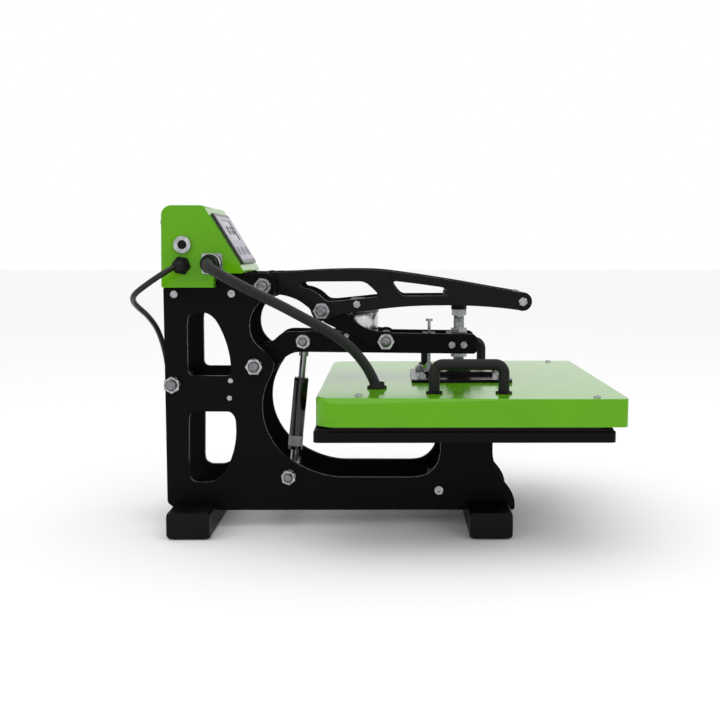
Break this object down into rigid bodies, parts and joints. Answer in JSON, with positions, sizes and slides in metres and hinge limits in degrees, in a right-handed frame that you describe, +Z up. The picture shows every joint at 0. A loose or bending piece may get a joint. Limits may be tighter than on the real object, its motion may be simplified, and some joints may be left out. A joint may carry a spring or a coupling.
{
  "type": "heat press",
  "caption": "Auto-opening clamshell heat press: green platen cover on a black hinged arm over a flat table, toggle lever, gas spring, electromagnet and rear control box.",
  "frame": {"origin": "centre of the machine's footprint box, on the floor under the feet", "axes": "+Z up, -Y towards the operator and the end of the handle lever, +Y towards the control box, -X the machine's left side seen by the operator's own left hand"},
  "size_m": [0.517, 0.6881, 0.479],
  "materials": {
    "frame_black": "semi-gloss powder coat",
    "cap_black": "satin black plastic",
    "pad_rubber": "matt rubber",
    "zinc": "bright zinc plate",
    "steel": "turned steel",
    "silicone": "matt silicone",
    "green_paint": "gloss lime-green paint",
    "gas_black": "gloss black lacquer",
    "panel_grey": "gloss panel",
    "screen_dark": "gloss screen",
    "key_plastic": "satin key",
    "breaker_black": "satin black",
    "board": "solder resist",
    "platen_aluminium": "machined",
    "blanket": "woven fibre",
    "cord_rubber": "satin cord jacket",
    "lead_jacket": "ribbed conduit"
  },
  "bodies": {
    "frame": {"side_plate_left": "frame_black", "side_plate_right": "frame_black", "rear_foot_beam": "frame_black", "front_foot_beam": "frame_black", "foot_end_caps": "cap_black", "foot_pads": "pad_rubber", "frame_pivot_shafts": "steel", "frame_pivot_nuts": "zinc", "frame_tie_bars": "frame_black", "frame_screws": "zinc", "table_pedestal": "frame_black", "lower_table": "frame_black", "silicone_pad": "silicone", "control_box_shell": "green_paint", "box_bracket": "frame_black", "circuit_board": "board", "display_panel": "panel_grey", "display_screen": "screen_dark", "breaker_body": "breaker_black", "cable_gland": "cap_black", "lead_socket": "zinc", "lead_plug": "cap_black", "power_cord": "cord_rubber", "power_cord_coil": "cord_rubber", "power_plug": "cap_black"},
    "key_down": {"key_down": "key_plastic"},
    "key_set": {"key_set": "key_plastic"},
    "key_up": {"key_up": "key_plastic"},
    "breaker_button": {"breaker_reset_button": "breaker_black"},
    "arm": {"arm_plate_left": "frame_black", "arm_plate_right": "frame_black", "arm_cross_members": "frame_black", "electromagnet": "steel", "arm_pins": "steel", "arm_nuts_and_screws": "zinc"},
    "lever": {"lever_plate_left": "frame_black", "lever_plate_right": "frame_black", "lever_grip": "cap_black", "strike_bar": "frame_black", "armature_disc": "steel", "lever_bolts": "zinc"},
    "links": {"link_left": "frame_black", "link_right": "frame_black"},
    "gas_cylinder": {"gas_spring_cylinder": "gas_black", "gas_spring_base_eye": "steel"},
    "gas_rod": {"gas_spring_rod": "steel"},
    "knob": {"pressure_spindle": "steel", "pressure_knob": "cap_black"},
    "platen": {"platen_hub": "frame_black", "guide_pin": "steel", "heater_cover": "green_paint", "heat_plate": "platen_aluminium", "insulation_blanket": "blanket", "mounting_plate": "frame_black", "platen_fasteners": "zinc", "platen_handle_left": "cap_black", "platen_handle_right": "cap_black", "lead_grommet": "pad_rubber", "heater_lead": "lead_jacket"}
  },
  "joints": [
    {"name": "arm_hinge", "type": "hinge", "parent": "frame", "child": "arm", "pos_m": [0, 0.1931, 0.2433], "axis": [-1, 0, 0], "range_deg": [0, 35], "deforming": ["heater_lead"]},
    {"name": "lever_hinge", "type": "hinge", "parent": "frame", "child": "lever", "pos_m": [0, 0.1791, 0.3616], "axis": [-1, 0, 0], "range_deg": [0, 88.8]},
    {"name": "link_hinge", "type": "hinge", "parent": "arm", "child": "links", "pos_m": [0, -0.0013, 0.2781], "axis": [-1, 0, 0], "range_deg": [-45, 0]},
    {"name": "gas_cylinder_hinge", "type": "hinge", "parent": "frame", "child": "gas_cylinder", "pos_m": [0, 0.1439, 0.0776], "axis": [-1, 0, 0], "range_deg": [0, 8.8]},
    {"name": "gas_rod_hinge", "type": "hinge", "parent": "arm", "child": "gas_rod", "pos_m": [0, 0.1238, 0.2773], "axis": [-1, 0, 0], "range_deg": [-26.4, 0]},
    {"name": "knob_spin", "type": "hinge", "parent": "arm", "child": "knob", "pos_m": [0, -0.1138, 0.3], "axis": [0, 0, 1], "range_deg": [0, 720]},
    {"name": "platen_slide", "type": "slide", "parent": "arm", "child": "platen", "axis": [0, 0, 1], "range_m": [0, 0.004]},
    {"name": "key_down_press", "type": "slide", "parent": "frame", "child": "key_down", "axis": [0, 0.8552, -0.5183], "range_m": [0, 0.0008], "stiffness_N_per_m": 600},
    {"name": "key_set_press", "type": "slide", "parent": "frame", "child": "key_set", "axis": [0, 0.8552, -0.5183], "range_m": [0, 0.0008], "stiffness_N_per_m": 600},
    {"name": "key_up_press", "type": "slide", "parent": "frame", "child": "key_up", "axis": [0, 0.8552, -0.5183], "range_m": [0, 0.0008], "stiffness_N_per_m": 600},
    {"name": "breaker_reset", "type": "slide", "parent": "frame", "child": "breaker_button", "axis": [1, 0, 0], "range_m": [0, 0.002], "stiffness_N_per_m": 600}
  ],
  "couplings": [
    {"joint": "lever_hinge", "follows": "arm_hinge", "ratio": 2.534},
    {"joint": "link_hinge", "follows": "arm_hinge", "ratio": -1.283},
    {"joint": "gas_cylinder_hinge", "follows": "arm_hinge", "ratio": 0.2477},
    {"joint": "gas_rod_hinge", "follows": "arm_hinge", "ratio": -0.7523},
    {"joint": "knob_spin", "follows": "platen_slide", "rad_per_m": 3141.5}
  ]
}
